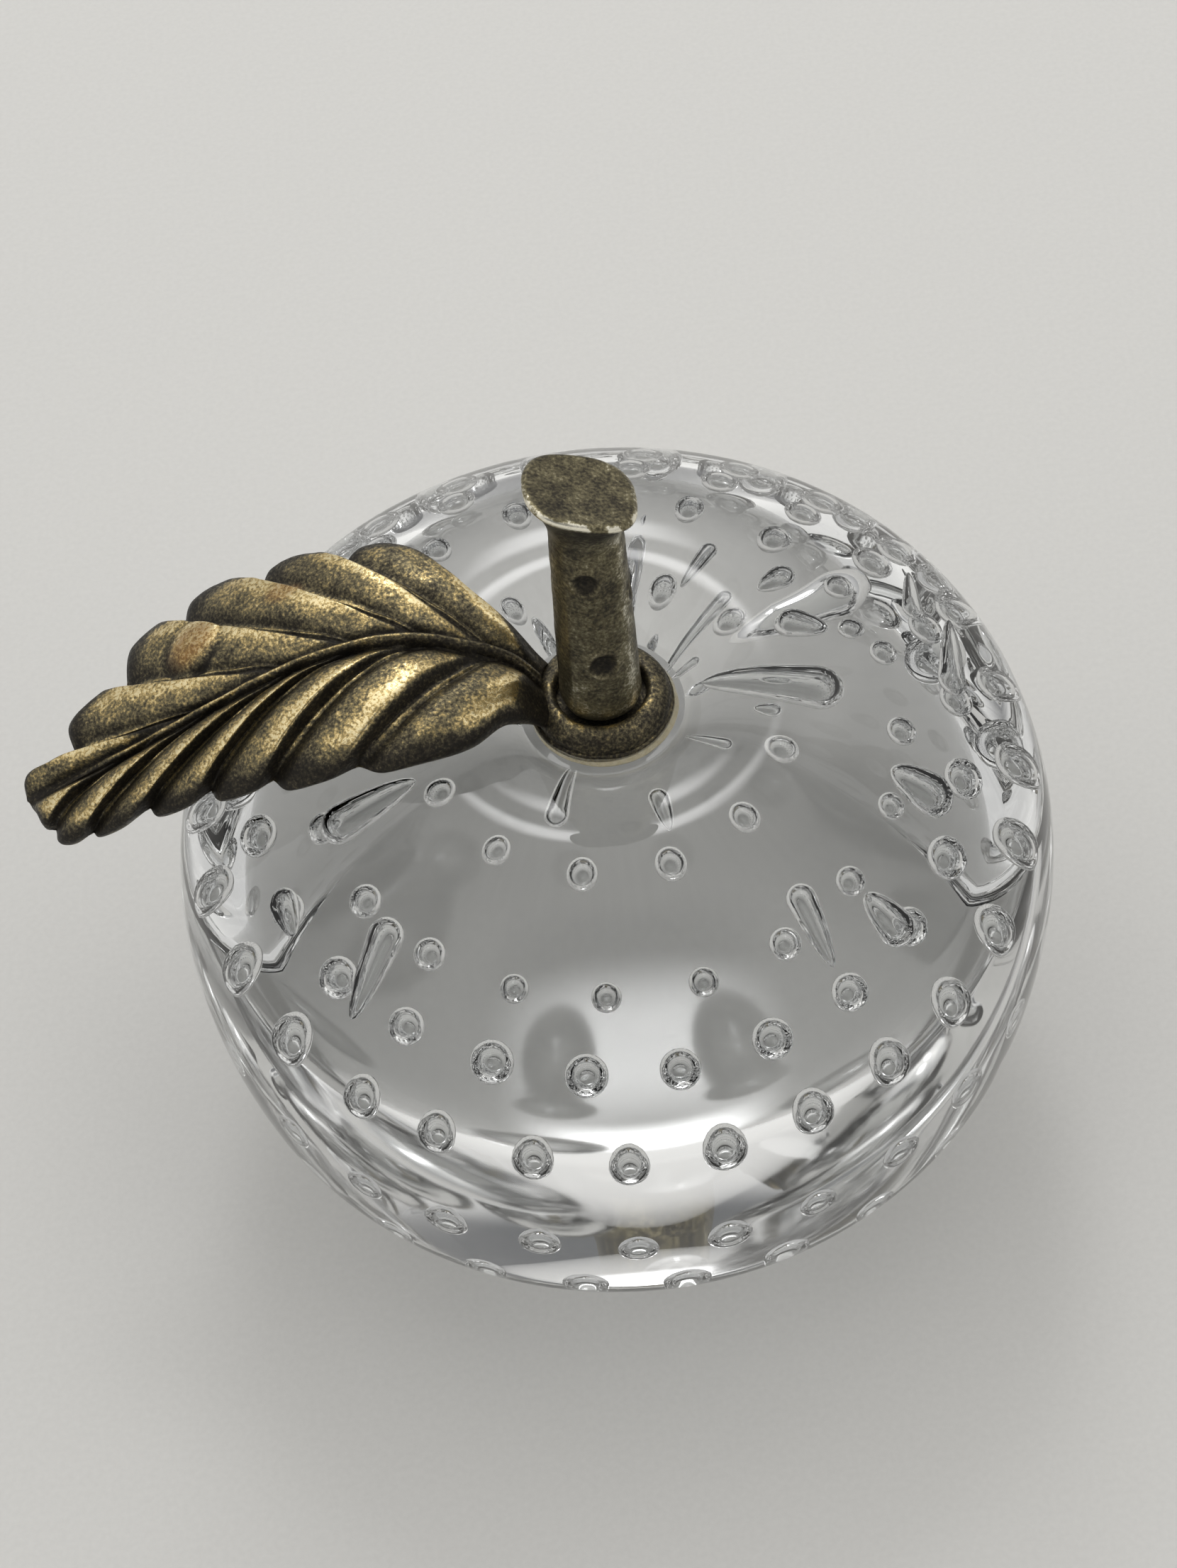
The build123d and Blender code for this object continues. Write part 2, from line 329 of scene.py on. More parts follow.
glassLook = {
    # Outline: shares of the radius and of the crown's height, widest at the belly
    "bellyShare": 0.553,
    "lowerShares": ((0.975, 0.366), (0.890, 0.237), (0.725, 0.102)),
    "upperShares": (
        (0.958, 0.731),
        (0.875, 0.824),
        (0.663, 0.938),
        (0.570, 0.971),
        (0.419, 0.998),
        (0.341, 0.997),
        (0.266, 0.984),
    ),
    "baseRadius": 22.0 * mm,
    "arris": 0.6 * mm,
    "arcSteps": 14,
    "turnSteps": 192,
    "bubblePitch": 7.4 * mm,
    # Rings of bubbles: share of the radius, of the height, of the first turn, bubble radius
    "rings": (
        (0.388, 0.855, 0.56, 1.25 * mm),
        (0.600, 0.795, 0.74, 1.3 * mm),
        (0.718, 0.725, 0.40, 1.7 * mm),
        (0.798, 0.622, 0.75, 1.75 * mm),
        (0.795, 0.430, 0.75, 1.7 * mm),
        (0.690, 0.262, 0.25, 1.75 * mm),
    ),
    # How far a ring's bubbles stray: turn in radians, height, and share of their radius
    "turnDrift": 0.01,
    "heightDrift": 0.3 * mm,
    "sizeDrift": (0.9, 1.08),
    # Drawn out bubbles in millimetres: middle of the head, end of the tail, head radius
    "drops": (
        ((-4.9, -11.3, 53.0), (-3.7, -6.4, 51.5), 1.1),
        ((18.2, 0.0, 51.6), (11.6, 1.3, 52.7), 2.1),
        ((11.9, 10.7, 51.5), (6.1, 4.2, 51.9), 0.75),
        ((10.7, 16.2, 50.2), (8.8, 13.3, 51.6), 0.8),
        ((16.4, 12.7, 49.7), (15.5, 12.1, 50.0), 1.15),
        ((17.0, 7.2, 51.0), (18.4, 6.9, 50.5), 1.4),
        ((21.3, 6.7, 49.8), (21.6, 6.8, 49.6), 1.0),
        ((14.5, -2.8, 53.3), (13.8, -2.6, 53.3), 0.7),
        ((4.0, -10.9, 53.0), (4.3, -12.8, 53.1), 1.0),
        ((29.2, 3.5, 45.2), (29.7, 9.7, 43.6), 1.4),
        ((26.6, 11.0, 45.0), (26.8, 15.2, 43.4), 1.0),
        ((14.1, -17.4, 47.0), (15.7, -21.7, 45.7), 1.3),
        ((-19.2, -16.2, 46.2), (-22.2, -21.0, 44.6), 1.6),
        ((-22.3, -6.9, 49.4), (-17.8, -5.8, 51.4), 1.8),
        ((-27.7, -11.5, 45.5), (-27.5, -13.5, 45.8), 1.4),
        ((26.0, -8.3, 46.6), (24.4, -7.6, 47.8), 2.0),
        ((21.6, -19.6, 45.2), (20.4, -18.5, 46.4), 1.7),
        ((9.4, 4.9, 51.7), (6.7, 4.2, 50.1), 0.5),
        ((10.3, -6.2, 54.0), (7.9, -4.8, 53.5), 0.6),
    ),
    "seatMargin": 0.3 * mm,
    "cordWidth": 9 * mm,
    "hazeHeights": (0.02 * mm, 0.2 * mm),
    "baseHaze": 0.04,
}


def glassOutline():
    look = glassLook
    belly = Vector((glassRadius, crownHeight * look["bellyShare"]))
    lower = [Vector((glassRadius * r, crownHeight * z)) for r, z in look["lowerShares"]]
    lower.append(Vector((look["baseRadius"], look["arris"])))
    upper = [Vector((glassRadius * r, crownHeight * z)) for r, z in look["upperShares"]]
    upper.append(Vector((cementHigh.x + look["seatMargin"], cementLow.z)))
    halves = []
    for points, heading in ((lower, Vector((0, -1))), (upper, Vector((0, 1)))):
        half = [belly]
        for point in points:
            arc, heading = tangentArc(half[-1], point, heading, look["arcSteps"])
            half += arc
        halves.append(half)
    down, up = halves
    foot = [Vector((0, 0)), Vector((look["baseRadius"] - look["arris"], 0))]
    return foot + down[:0:-1] + up + [Vector((0, up[-1].y))]


def airBubble(head, tail, radius):
    # A hollow in the glass, drawn out and narrowed from its head to its tail: its faces
    # look into the air, away from the glass
    bpy.ops.mesh.primitive_ico_sphere_add(subdivisions=3, radius=1)
    bubble = bpy.context.object
    reach = (tail - head).length
    stretch = reach / (reach + radius)
    aim = (tail - head).to_track_quat("Z", "X") if reach else Quaternion()
    for vertex in bubble.data.vertices:
        spot = vertex.co * radius
        if vertex.co.z > 0:
            along = vertex.co.z
            narrow = 1 + stretch * (math.sqrt(1 + along ** 2) * (1 - 0.5 * along) - 1)
            spot = Vector((spot.x * narrow, spot.y * narrow, (radius + reach) * along))
        vertex.co = head + aim @ spot
    bubble.data.flip_normals()
    return bubble


def buildGlass():
    look = glassLook
    glass = spinOutline("glassApple", glassOutline(), look["turnSteps"])
    bubbles = []
    for radiusShare, heightShare, startShare, radius in look["rings"]:
        reach = glassRadius * radiusShare
        count = round(2 * math.pi * reach / look["bubblePitch"])
        for i in range(count):
            turn = math.radians(-90) + 2 * math.pi * (i + startShare) / count
            turn += random.uniform(-look["turnDrift"], look["turnDrift"])
            height = crownHeight * heightShare + random.uniform(-look["heightDrift"], look["heightDrift"])
            place = Vector((reach * math.cos(turn), reach * math.sin(turn), height))
            bubbles.append(airBubble(place, place, radius * random.uniform(*look["sizeDrift"])))
    for head, tail, radius in look["drops"]:
        bubbles.append(airBubble(Vector(head) * mm, Vector(tail) * mm, radius * mm))
    joinInto(glass, bubbles)
    finishPiece(glass, clearCrystal(), "root", "clear_crystal", "glass_body")


def clearCrystal():
    # Lead crystal, gathered hot and fire polished: clear, glossy, with faint cords in it
    look = glassLook
    material, tree, shader = newMaterial("clear lead crystal")
    shader.inputs["Base Color"].default_value = hexColour("#E8E9E9")
    shader.inputs["Transmission Weight"].default_value = 1
    shader.inputs["IOR"].default_value = 1.52
    place = addNode(tree, "TexCoord").outputs["Object"]
    cords = addNode(tree, "TexNoise", {"Vector": place, "Scale": 1 / look["cordWidth"], "Detail": 1})
    waves = {"Height": cords.outputs["Fac"], "Strength": 0.12, "Distance": 0.05 * mm}
    bump = addNode(tree, "Bump", waves)
    tree.links.new(bump.outputs["Normal"], shader.inputs["Normal"])
    # The base is ground flat and left faintly hazy
    height = addNode(tree, "SeparateXYZ", {"Vector": place}).outputs["Z"]
    low, high = look["hazeHeights"]
    fade = {"Value": height, "From Min": low, "From Max": high, "To Min": look["baseHaze"], "To Max": 0}
    haze = addNode(tree, "MapRange", fade)
    tree.links.new(haze.outputs["Result"], shader.inputs["Roughness"])
    return material


buildGlass()


# Patinated brass, for the leaf and the stem

def patinatedBrass(name, finish):
    # Coloured by a wear value that holds patina, rubbed wear, painted highlights and painted shade,
    # broken up by fine specks and broad blotches: dark and dull in the hollows and where shade is
    # painted, bright and metallic where rubbed and where a highlight is painted
    material, tree, shader = newMaterial(name)
    place = addNode(tree, "TexCoord").outputs["Object"]
    specks = {
        "Vector": place,
        "Scale": 1 / finish["speck"],
        "Detail": 3,
        "Roughness": finish["speckRoughness"],
    }
    fine = addNode(tree, "TexNoise", specks).outputs["Fac"]
    blotches = {"Vector": place, "Scale": 1 / finish["blotch"], "Detail": finish["blotchDetail"]}
    broad = addNode(tree, "TexNoise", blotches).outputs["Fac"]
    wearAndLightLevel = addNode(tree, "Attribute", attribute_name="wearAndPaintedLight").outputs["Fac"]
    for uneven, weight in ((fine, finish["speckWeight"]), (broad, finish["blotchWeight"])):
        wearAndLightLevel = addNode(tree, "Math", {0: uneven, 1: weight, 2: wearAndLightLevel}, operation="MULTIPLY_ADD").outputs[0]
    low, high = finish["wearAndLightRange"]
    wearAndLightLevel = addNode(tree, "MapRange", {"Value": wearAndLightLevel, "From Min": low, "From Max": high}).outputs["Result"]
    colour = addNode(tree, "ValToRGB", {"Fac": wearAndLightLevel}, ramp=finish["colours"]).outputs["Color"]
    if "stain" in finish:
        rust = addNode(tree, "Attribute", attribute_name="rust").outputs["Fac"]
        amount = addNode(tree, "Math", {0: rust, 1: broad}, operation="MULTIPLY").outputs[0]
        stained = {"Factor": amount, 6: colour, 7: hexColour(finish["stain"])}
        colour = addNode(tree, "Mix", stained, data_type="RGBA").outputs[2]
    tree.links.new(colour, shader.inputs["Base Color"])
    for socket, (hollow, rubbed) in (("Roughness", finish["roughness"]), ("Metallic", finish["metallic"])):
        level = addNode(tree, "MapRange", {"Value": wearAndLightLevel, "To Min": hollow, "To Max": rubbed})
        tree.links.new(level.outputs["Result"], shader.inputs[socket])
    pits = {"Height": fine, "Strength": finish["bumpStrength"], "Distance": finish["bumpHeight"]}
    bump = addNode(tree, "Bump", pits)
    tree.links.new(bump.outputs["Normal"], shader.inputs["Normal"])
    return material


# Leaf: cast antique brass, an arched blade with swept lobes in one piece with its eye

leafLook = {
    # Midrib: shares of the way from the eye to the tip, of the sideways bow and of the rise
    "midribShares": (
        (0.000, 0.40, 0.00),
        (0.074, 0.80, 0.54),
        (0.245, 1.00, 1.00),
        (0.417, 0.80, 0.88),
        (0.588, 0.43, 0.38),
        (0.765, 0.07, -0.28),
        (1.000, -0.33, -1.12),
    ),
    "rootReach": 4.67 * mm,
    "bow": 2.3 * mm,
    "rise": 6.63 * mm,
    "rollRadius": 26 * mm,
    "twist": 15,  # degrees by the tip
    "rows": 400,
    "columns": 96,
    # Veins in millimetres from the stem and beside the midrib: root, bend, then the
    # shoulders of the lobe before the vein, and the notch that the vein ends in
    "nearVeins": (
        (5.0, (5.0, 1.6), (), (4.0, 3.3)),
        (
            8.5,
            (13.5, 4.5),
            ((6.9, 5.7), (8.6, 6.7), (11.3, 9.2), (14.8, 10.7), (18.7, 11.3)),
            (20.9, 10.3),
        ),
        (13.0, (21.5, 2.4), ((23.6, 10.7), (26.9, 10.3)), (28.3, 8.8)),
        (17.5, (28.5, 1.6), ((30.2, 9.0), (33.0, 8.4)), (33.9, 7.0)),
        (23.0, (33.0, 1.8), ((36.0, 7.4), (38.7, 6.9)), (39.6, 5.6)),
        (30.0, (40.0, 1.2), ((42.0, 6.2), (44.3, 6.0)), (45.0, 5.2)),
        (38.0, (46.0, 1.0), ((46.6, 5.5), (48.1, 4.8)), (48.5, 3.3)),
        (50.7, (50.5, 0.3), ((49.4, 2.8), (50.1, 1.2)), (50.6, 0.25)),
    ),
    "farVeins": (
        (5.0, (5.0, 1.6), (), (4.1, 2.9)),
        (
            8.0,
            (14.0, 3.8),
            ((6.8, 3.5), (9.6, 5.3), (12.1, 7.8), (14.3, 10.0), (16.6, 11.4), (19.5, 11.9)),
            (21.4, 10.2),
        ),
        (13.5, (19.5, 2.8), ((23.8, 11.6), (27.2, 12.5)), (28.8, 11.0)),
        (19.0, (26.5, 3.2), ((31.8, 13.0), (34.9, 13.0)), (35.9, 10.5)),
        (25.0, (33.0, 3.0), ((38.4, 11.7), (40.8, 10.3)), (41.3, 6.8)),
        (32.0, (39.0, 1.5), ((43.9, 6.8), (46.6, 5.4)), (46.2, 2.6)),
        (50.7, (50.5, 0.6), ((48.9, 2.4), (50.5, 2.6), (51.1, 2.0)), (51.0, 0.5)),
    ),
    # Lobes: steep towards the stem, easing down towards the tip, lower on the far side.
    # A hand is -1 on the near side and 1 on the far side.
    "lobeHeights": {-1: 1.5 * mm, 1: 1.1 * mm},
    "lobeCrest": 0.27,
    "lobeEase": 2.0,
    "lobeSlant": 0.62,
    "rubSpread": 0.34,
    # Veins: a dark groove with a thin raised line in it, widths in millimetres
    "grooveDepth": 0.4 * mm,
    "grooveWidth": 0.55,
    "ridgeHeight": 0.42 * mm,
    "ridgeWidth": 0.2,
    # Midrib: its length and where it starts to fade in millimetres, and the shares of its
    # width and height that it loses on the way. A ditch runs beside it.
    "ribHalfWidth": 0.56 * mm,
    "ribHeight": 0.75 * mm,
    "ribLength": 50,
    "ribFade": 42,
    "ribNarrowing": 0.45,
    "ribSinking": 0.3,
    "ditchDepth": 0.3 * mm,
    "ditchWidth": 0.4,
    # Edge of the blade: how far it is rounded down, and from which share of the way out
    "edgeRound": {-1: 1.2 * mm, 1: 0.75 * mm},
    "edgeStart": {-1: 0.76, 1: 0.86},
    # Relief near the tip: from which share of the length it flattens, and by how much
    "tipStart": 0.93,
    "tipFlattening": 0.5,
    # Plate: thickness at the midrib and at the edge. Its underside follows the edge's
    # rounding less this much, lifts at the very edge, and shows a share of the relief.
    "thickness": 2.1 * mm,
    "edgeThickness": 1.2 * mm,
    "edgeTuck": 0.9 * mm,
    "edgeLift": 0.3 * mm,
    "underShare": 0.15,
    # Casting skin: heights, with spacings in millimetres, and the spacing of its tint
    "lumps": ((0.16 * mm, 2.6), (0.04 * mm, 0.8)),
    "tintSpacing": 1.9,
    # Low boss on the far side: reach, side, radius in millimetres
    "boss": (34.6, 6.5, 2.5),
    "bossHeight": 0.4 * mm,
    "bossRim": 0.16 * mm,
    # Reddish patches where the patina is worn through: reach, side, hand, radius
    "rustSpots": ((34.6, 6.5, 1, 2.3), (26.2, 7.6, 1, 1.7)),
    "eyeBore": 3.95 * mm,
    "eyeFloor": 0.9 * mm,
    "spigotHole": 1.7 * mm,
    # Flange of the eye: inset from its rim and height above its bottom
    "eyeFlange": (
        (0.1 * mm, 0),
        (0, 0.12 * mm),
        (0, 0.48 * mm),
        (0.12 * mm, 0.6 * mm),
        (0.2 * mm, 0.62 * mm),
    ),
    # Its crown: distance from the bore and depth below the top. The bore's lip is lower.
    "eyeCrown": (0.75 * mm, 0.03 * mm),
    "eyeLip": 0.6 * mm,
    # Wear and painted highlight on it: width and depth of the crest, inset and width of the rubbed line,
    # which is brighter on the front, patches
    "eyeCrest": (0.9 * mm, 1.0 * mm),
    "eyeRubAndHighlightLine": (0.35 * mm, 0.4 * mm),
    "eyePatch": 1.5 * mm,
    "eyeLumps": ((0.12 * mm, 2.4 * mm), (0.04 * mm, 0.9 * mm)),
    "eyeSink": 0.06 * mm,
    "eyeSteps": 144,
    "finish": {
        "speck": 0.3 * mm,
        "speckRoughness": 0.65,
        "speckWeight": 1.9,
        "blotch": 2.0 * mm,
        "blotchDetail": 2,
        "blotchWeight": 0.6,
        "wearAndLightRange": (1.15, 2.35),
        "colours": (
            (0.0, "#211D17"),
            (0.25, "#3A352B"),
            (0.45, "#5C5543"),
            (0.62, "#7F7559"),
            (0.78, "#AF9A6A"),
            (0.9, "#DEC48A"),
            (1.0, "#F4E3B4"),
        ),
        "stain": "#94602F",
        "roughness": (0.6, 0.25),
        "metallic": (0.55, 1.0),
        "bumpStrength": 0.7,
        "bumpHeight": 0.06 * mm,
    },
}


def curveThrough(points, place):
    # Smooth curve through evenly weighted points, at a place counted in points
    i = min(int(place), len(points) - 2)
    part = place - i
    before = points[i - 1] if i else points[0] * 2 - points[1]
    after = points[i + 2] if i + 2 < len(points) else points[-1] * 2 - points[-2]
    p, q = points[i], points[i + 1]
    slopeIn, slopeOut = (q - before) / 2, (after - p) / 2
    square, cube = part ** 2, part ** 3
    return (
        p * (2 * cube - 3 * square + 1)
        + slopeIn * (cube - 2 * square + part)
        + q * (3 * square - 2 * cube)
        + slopeOut * (cube - square)
    )


def midribPoints(look, reach):
    # The points that the midrib runs through: how far out, sideways and up
    rootReach = look["rootReach"]
    return [
        Vector((rootReach + (reach - rootReach) * r, look["bow"] * b, eyeTop + look["rise"] * z))
        for r, b, z in look["midribShares"]
    ]


class Blade:
    # The blade's rolled upper surface, found from a reach, a side distance and a height
    def __init__(self, look, reach):
        self.look = look
        points = midribPoints(look, reach)
        count = 60
        self.table = [curveThrough(points, (len(points) - 1) * i / count) for i in range(count + 1)]
        self.total = [0]
        for p, q in zip(self.table, self.table[1:]):
            self.total.append(self.total[-1] + (q - p).length)

    def at(self, reach, side, height):
        table, total, look = self.table, self.total, self.look
        i = 0
        while i < len(table) - 2 and table[i + 1].x < reach:
            i += 1
        part = (reach - table[i].x) / (table[i + 1].x - table[i].x)
        middle = table[i].lerp(table[i + 1], part)
        along = min(1, (total[i] + (total[i + 1] - total[i]) * part) / total[-1])
        twist = math.radians(look["twist"] * along)
        across = Vector((0, math.cos(twist), math.sin(twist)))
        up = Vector((0, -math.sin(twist), math.cos(twist)))
        radius = look["rollRadius"]
        lean = side / radius
        level = math.sqrt(1 - lean ** 2)
        outward = up * level + across * lean
        spot = Vector((-reach, middle.y, middle.z))
        return spot + across * side - up * radius * (1 - level) + outward * height


class LeafSide:
    # One half of the leaf: its veins, its scalloped outline and the relief of its lobes
    def __init__(self, look, veins, hand):
        self.look = look
        self.veins = veins
        self.hand = hand

    def lobeAt(self, root):
        veins = self.veins
        i = 1
        while i < len(veins) - 1 and veins[i][0] < root:
            i += 1
        part = (root - veins[i - 1][0]) / (veins[i][0] - veins[i - 1][0])
        return i, min(1, max(0, part))

    def outline(self, i, part):
        points = [Vector(p) for p in (self.veins[i - 1][3], *self.veins[i][2], self.veins[i][3])]
        lengths = [(q - p).length for p, q in zip(points, points[1:])]
        rest = part * sum(lengths)
        for j, length in enumerate(lengths):
            if rest <= length or j == len(lengths) - 1:
                return curveThrough(points, min(j + rest / length, len(points) - 1))
            rest -= length

    def spot(self, root, out):
        # Where a row from this root has come, at a share of its way to the outline
        i, part = self.lobeAt(root)
        bend = Vector(self.veins[i - 1][1]).lerp(Vector(self.veins[i][1]), part)
        end = self.outline(i, part)
        start = Vector((root, 0))
        return start * (1 - out) ** 2 + bend * 2 * out * (1 - out) + end * out ** 2

    def relief(self, root, out):
        # Height above the plain blade, and its wear value from 0 to 1: patina and rubbed wear, with painted
        # highlight and painted shade in it
        look = self.look
        i, part = self.lobeAt(root)
        here = self.spot(root, out)
        before = self.spot(self.veins[i - 1][0], out)
        after = self.spot(self.veins[i][0], out)
        width = (after - before).length * look["lobeSlant"]
        crest = look["lobeCrest"]
        past = max(0, (part - crest) / (1 - crest))
        if part < crest:
            swell = smoothStep(0, crest, part)
            glow = smoothStep(0.72 * crest, crest, part)
        else:
            swell = 1 - 0.75 * past ** look["lobeEase"] - 0.25 * smoothStep(0.7, 1, past)
            glow = bell(past, look["rubSpread"])
        grown = smoothStep(0.05, 0.6, out) * min(1, width / 3.0)
        height = look["lobeHeights"][self.hand] * swell * grown
        # Bright along the crest, rubbed wear with a painted highlight; plain on the long slope; dark on the
        # steep one, patina with painted shade
        plain = 0.56 * (1 - 0.3 * past) * smoothStep(0.5 * crest, crest, part)
        wearAndPaintedLight = plain + glow * (0.12 + 0.5 * smoothStep(0.2, 0.65, out)) * min(1, width / 2.2)
        # The veins, from the distance to the nearer one
        gap = min(part if i > 1 else 1, 1 - part if i < len(self.veins) - 1 else 1) * width
        groove = bell(gap, look["grooveWidth"]) * smoothStep(0.02, 0.15, out)
        ridge = bell(gap, look["ridgeWidth"]) * smoothStep(0.05, 0.3, out) * (1 - smoothStep(0.85, 1, out))
        height += look["ridgeHeight"] * ridge - look["grooveDepth"] * groove
        wearAndPaintedLight += 0.8 * ridge - 0.4 * groove
        # The midrib, thinner and lower towards the tip
        ribLength = look["ribLength"]
        ribWidth = look["ribHalfWidth"] * (1 - look["ribNarrowing"] * root / ribLength) / mm
        ribRise = look["ribHeight"] * (1 - look["ribSinking"] * root / ribLength)
        side = abs(here.y)
        rib = max(0, 1 - (side / ribWidth) ** 2) ** 0.5 * (1 - smoothStep(look["ribFade"], ribLength, root))
        ditch = bell(side - ribWidth * 1.45, look["ditchWidth"])
        height += ribRise * rib - look["ditchDepth"] * ditch
        # A narrow painted highlight along the top of the midrib, with rubbed wear; dark patina in the ditch
        ribWearAndHighlight = 0.3 * rib + 0.5 * rib ** 8 * smoothStep(8, 22, root)
        wearAndPaintedLight = max(wearAndPaintedLight * smoothStep(ribWidth, ribWidth * 2.4, side), ribWearAndHighlight) - 0.3 * ditch
        if self.hand > 0:
            bossReach, bossSide, bossRadius = look["boss"]
            away = math.hypot(here.x - bossReach, here.y - bossSide)
            height += look["bossHeight"] * max(0, 1 - (away / bossRadius) ** 2)
            rim = bell(away - bossRadius * 1.05, 0.3)
            height -= look["bossRim"] * rim
            wearAndPaintedLight += 0.3 * (1 - smoothStep(0.6, 1, away / bossRadius)) - 0.5 * rim
        flat = Vector((here.x, here.y * self.hand, 0.3))
        height += lumpiness(flat, look["lumps"])
        wearAndPaintedLight += 0.16 * noise.noise(flat / look["tintSpacing"]) + 0.1
        return height, min(1, max(0, wearAndPaintedLight))

    def rust(self, root, out):
        # How reddish the place is, from 0 to 1
        here = self.spot(root, out)
        most = 0
        for reach, side, hand, radius in self.look["rustSpots"]:
            if hand == self.hand:
                away = math.hypot(here.x - reach, (here.y - side) * 1.3) / radius
                most = max(most, 1 - smoothStep(0.5, 1.2, away))
        return most


def spreadRoots(sides, count, first, last):
    # Roots of the rows, closer where the outline runs far for a short piece of midrib
    fine = 1500
    roots = [first + (last - first) * i / fine for i in range(fine + 1)]
    effort = [0]
    for p, q in zip(roots, roots[1:]):
        steps = [(side.spot(q, 1) - side.spot(p, 1)).length for side in sides]
        effort.append(effort[-1] + max(q - p, *steps))
    spread, j = [], 0
    for i in range(count + 1):
        goal = effort[-1] * i / count
        while j < fine - 1 and effort[j + 1] < goal:
            j += 1
        part = (goal - effort[j]) / (effort[j + 1] - effort[j])
        spread.append(roots[j] + (roots[j + 1] - roots[j]) * min(1, max(0, part)))
    return spread


def buildBlade():
    look = leafLook
    reach = -leafLow.x
    blade = Blade(look, reach)
    sides = [LeafSide(look, look["nearVeins"], -1), LeafSide(look, look["farVeins"], 1)]
    first, last = look["nearVeins"][0][0], look["nearVeins"][-1][0]
    rows, columns = look["rows"], look["columns"]
    roots = spreadRoots(sides, rows, first, last)
    deselect()
    bpy.ops.mesh.primitive_grid_add(x_subdivisions=rows, y_subdivisions=columns, size=2)
    made = bpy.context.object
    made.name = "leafBlade"
    bpy.ops.object.mode_set(mode="EDIT")
    bpy.ops.mesh.select_all(action="SELECT")
    bpy.ops.mesh.extrude_region_move(TRANSFORM_OT_translate={"value": (0, 0, 1)})
    bpy.ops.object.mode_set(mode="OBJECT")
    for name in ("wearAndPaintedLight", "rust"):
        made.data.attributes.new(name, "FLOAT", "POINT")
    wearAndPaintedLightLayer, rustiness = made.data.attributes["wearAndPaintedLight"], made.data.attributes["rust"]
    for vertex in made.data.vertices:
        row = round((vertex.co.x + 1) / 2 * rows)
        across = vertex.co.y
        side = sides[1] if across > 0 else sides[0]
        out = abs(across)
        root = roots[row]
        spot = side.spot(root, out)
        height, wearAndPaintedLight = side.relief(root, out)
        tipFade = 1 - look["tipFlattening"] * smoothStep(look["tipStart"], 1, row / rows)
        edgeStart = look["edgeStart"][side.hand]
        edge = max(0, (out - edgeStart) / (1 - edgeStart))
        fall = 1 - math.sqrt(max(0, 1 - edge ** 2))
        if vertex.co.z > 0.5:
            height = height * tipFade - look["edgeRound"][side.hand] * fall
            # Painted shade where the edge rounds down
            wearAndPaintedLight *= 1 - smoothStep(0.25, 0.9, edge)
            rustiness.data[vertex.index].value = side.rust(root, out)
        else:
            plate = look["edgeThickness"] + (look["thickness"] - look["edgeThickness"]) * (1 - out ** 2)
            tuck = look["edgeRound"][side.hand] - look["edgeTuck"]
            height = -plate - tuck * edge + look["underShare"] * height + look["edgeLift"] * fall
            wearAndPaintedLight = 0.4
        wearAndPaintedLightLayer.data[vertex.index].value = wearAndPaintedLight
        vertex.co = blade.at(spot.x * mm, side.hand * spot.y * mm, height)
    bpy.ops.object.mode_set(mode="EDIT")
    bpy.ops.mesh.select_all(action="SELECT")
    bpy.ops.mesh.normals_make_consistent(inside=False)
    bpy.ops.object.mode_set(mode="OBJECT")
    return made


def antiqueBrass():
    # Cast brass dipped in dark patina and wiped back: gold on the crests, rubbed wear with a
    # painted highlight, near black in the veins, painted shade on the steep slopes and rounded down
    # edges, and a sandy speckle left by the casting skin
    return patinatedBrass("antique cast brass", leafLook["finish"])


def buildEye():
    # The eye: a domed ring on a thin flange, with a cup for the stem's foot
    look = leafLook
    bore = look["eyeBore"]
    flange = [Vector((eyeRadius - inset, eyeBottom + high)) for inset, high in look["eyeFlange"]]
    crown = Vector((bore + look["eyeCrown"][0], eyeTop - look["eyeCrown"][1]))
    lip = Vector((bore, eyeTop - look["eyeLip"]))
    dome, heading = tangentArc(flange[-1], crown, Vector((0, 1)), 10)
    inner, heading = tangentArc(crown, lip, heading, 8)
    cup = Vector((bore, eyeBottom + look["eyeFloor"]))
    foot = Vector((look["spigotHole"], eyeBottom))
    outline = [foot, *flange, *dome, *inner, cup, Vector((foot.x, cup.y)), foot]
    made = spinOutline("leafEye", outline, look["eyeSteps"])
    crestWidth, crestDepth = look["eyeCrest"]
    rubInset, rubWidth = look["eyeRubAndHighlightLine"]
    wearAndPaintedLightLayer = made.data.attributes.new("wearAndPaintedLight", "FLOAT", "POINT")
    for vertex in made.data.vertices:
        spot = vertex.co
        reach = math.hypot(spot.x, spot.y)
        crest = bell(reach - crown.x, crestWidth) * smoothStep(eyeTop - crestDepth, eyeTop, spot.z)
        # The rubbed line: wear, with a painted highlight that is strongest on the front side
        eyeRubAndHighlight = bell(reach - crown.x + rubInset, rubWidth) * crest
        patchy = smoothStep(-0.1, 0.3, noise.noise(spot / look["eyePatch"]))
        front = smoothStep(-0.2, 0.8, -spot.y / reach)
        eyeWearAndLight = 0.3 + 0.08 * crest + 0.6 * eyeRubAndHighlight * patchy * (0.3 + 0.7 * front)
        wearAndPaintedLightLayer.data[vertex.index].value = eyeWearAndLight if reach > bore - 0.05 * mm else 0
        if reach > bore - 0.1 * mm and spot.z > eyeBottom + 0.1 * mm:
            sunk = min(0, lumpiness(spot, look["eyeLumps"]) - look["eyeSink"])
            drawn = 1 + sunk / reach
            vertex.co = Vector((spot.x * drawn, spot.y * drawn, spot.z + sunk * crest))
    return made


def buildLeaf():
    leaf = buildBlade()
    joinInto(leaf, [buildEye()])
    leaf.name = "leafCasting"
    finishPiece(leaf, antiqueBrass(), "root", "antique_brass", "leaf")


buildLeaf()


# Stem: a cast brass peg like a hand-forged nail, with a flared slanting head and knots

